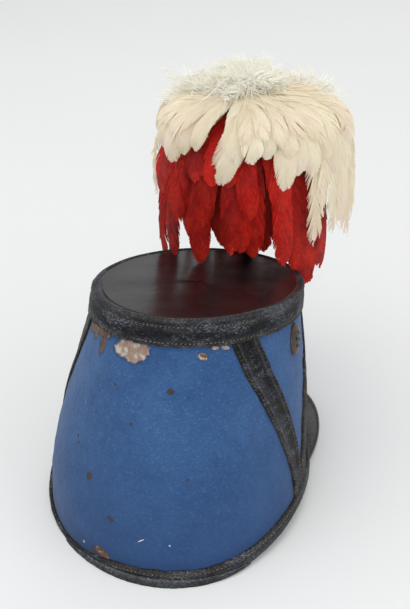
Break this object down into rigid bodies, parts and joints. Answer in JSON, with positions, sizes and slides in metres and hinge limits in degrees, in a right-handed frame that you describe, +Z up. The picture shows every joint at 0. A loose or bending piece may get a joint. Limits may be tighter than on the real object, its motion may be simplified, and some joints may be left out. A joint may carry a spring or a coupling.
{
  "type": "shako hat",
  "caption": "Tall blue cloth military cap with black leather top, bands, peak and side straps, and a falling feather plume, white over red.",
  "frame": {"origin": "middle of the bottom of the whole object's box, on the surface the hat rests on", "axes": "+Z up, -Y to the front of the hat where the peak is, +X to the wearer's left"},
  "size_m": [0.1778, 0.2996, 0.258],
  "materials": {
    "cloth": "mid-blue fulled wool, matt, faded and moth-eaten",
    "leather": "black dressed leather, semi-gloss, cracked at the bands",
    "strap_leather": "black leather rubbed to dark grey, brown at the edges",
    "vent_metal": "black lacquer, worn brown at the rim",
    "red_feather": "soft red feathers, matt",
    "white_feather": "soft ivory feathers, matt"
  },
  "bodies": {
    "root": {"body_shell": "cloth", "crown_disc": "leather", "top_band": "leather", "bottom_band": "leather", "neck_strip": "strap_leather", "peak": "leather", "strap_rear_right": "strap_leather", "strap_front_right": "strap_leather", "strap_rear_left": "strap_leather", "strap_front_left": "strap_leather", "vent_right": "vent_metal", "vent_left": "vent_metal", "plume_socket": "leather", "plume_red": "red_feather", "plume_white": "white_feather"}
  },
  "joints": []
}
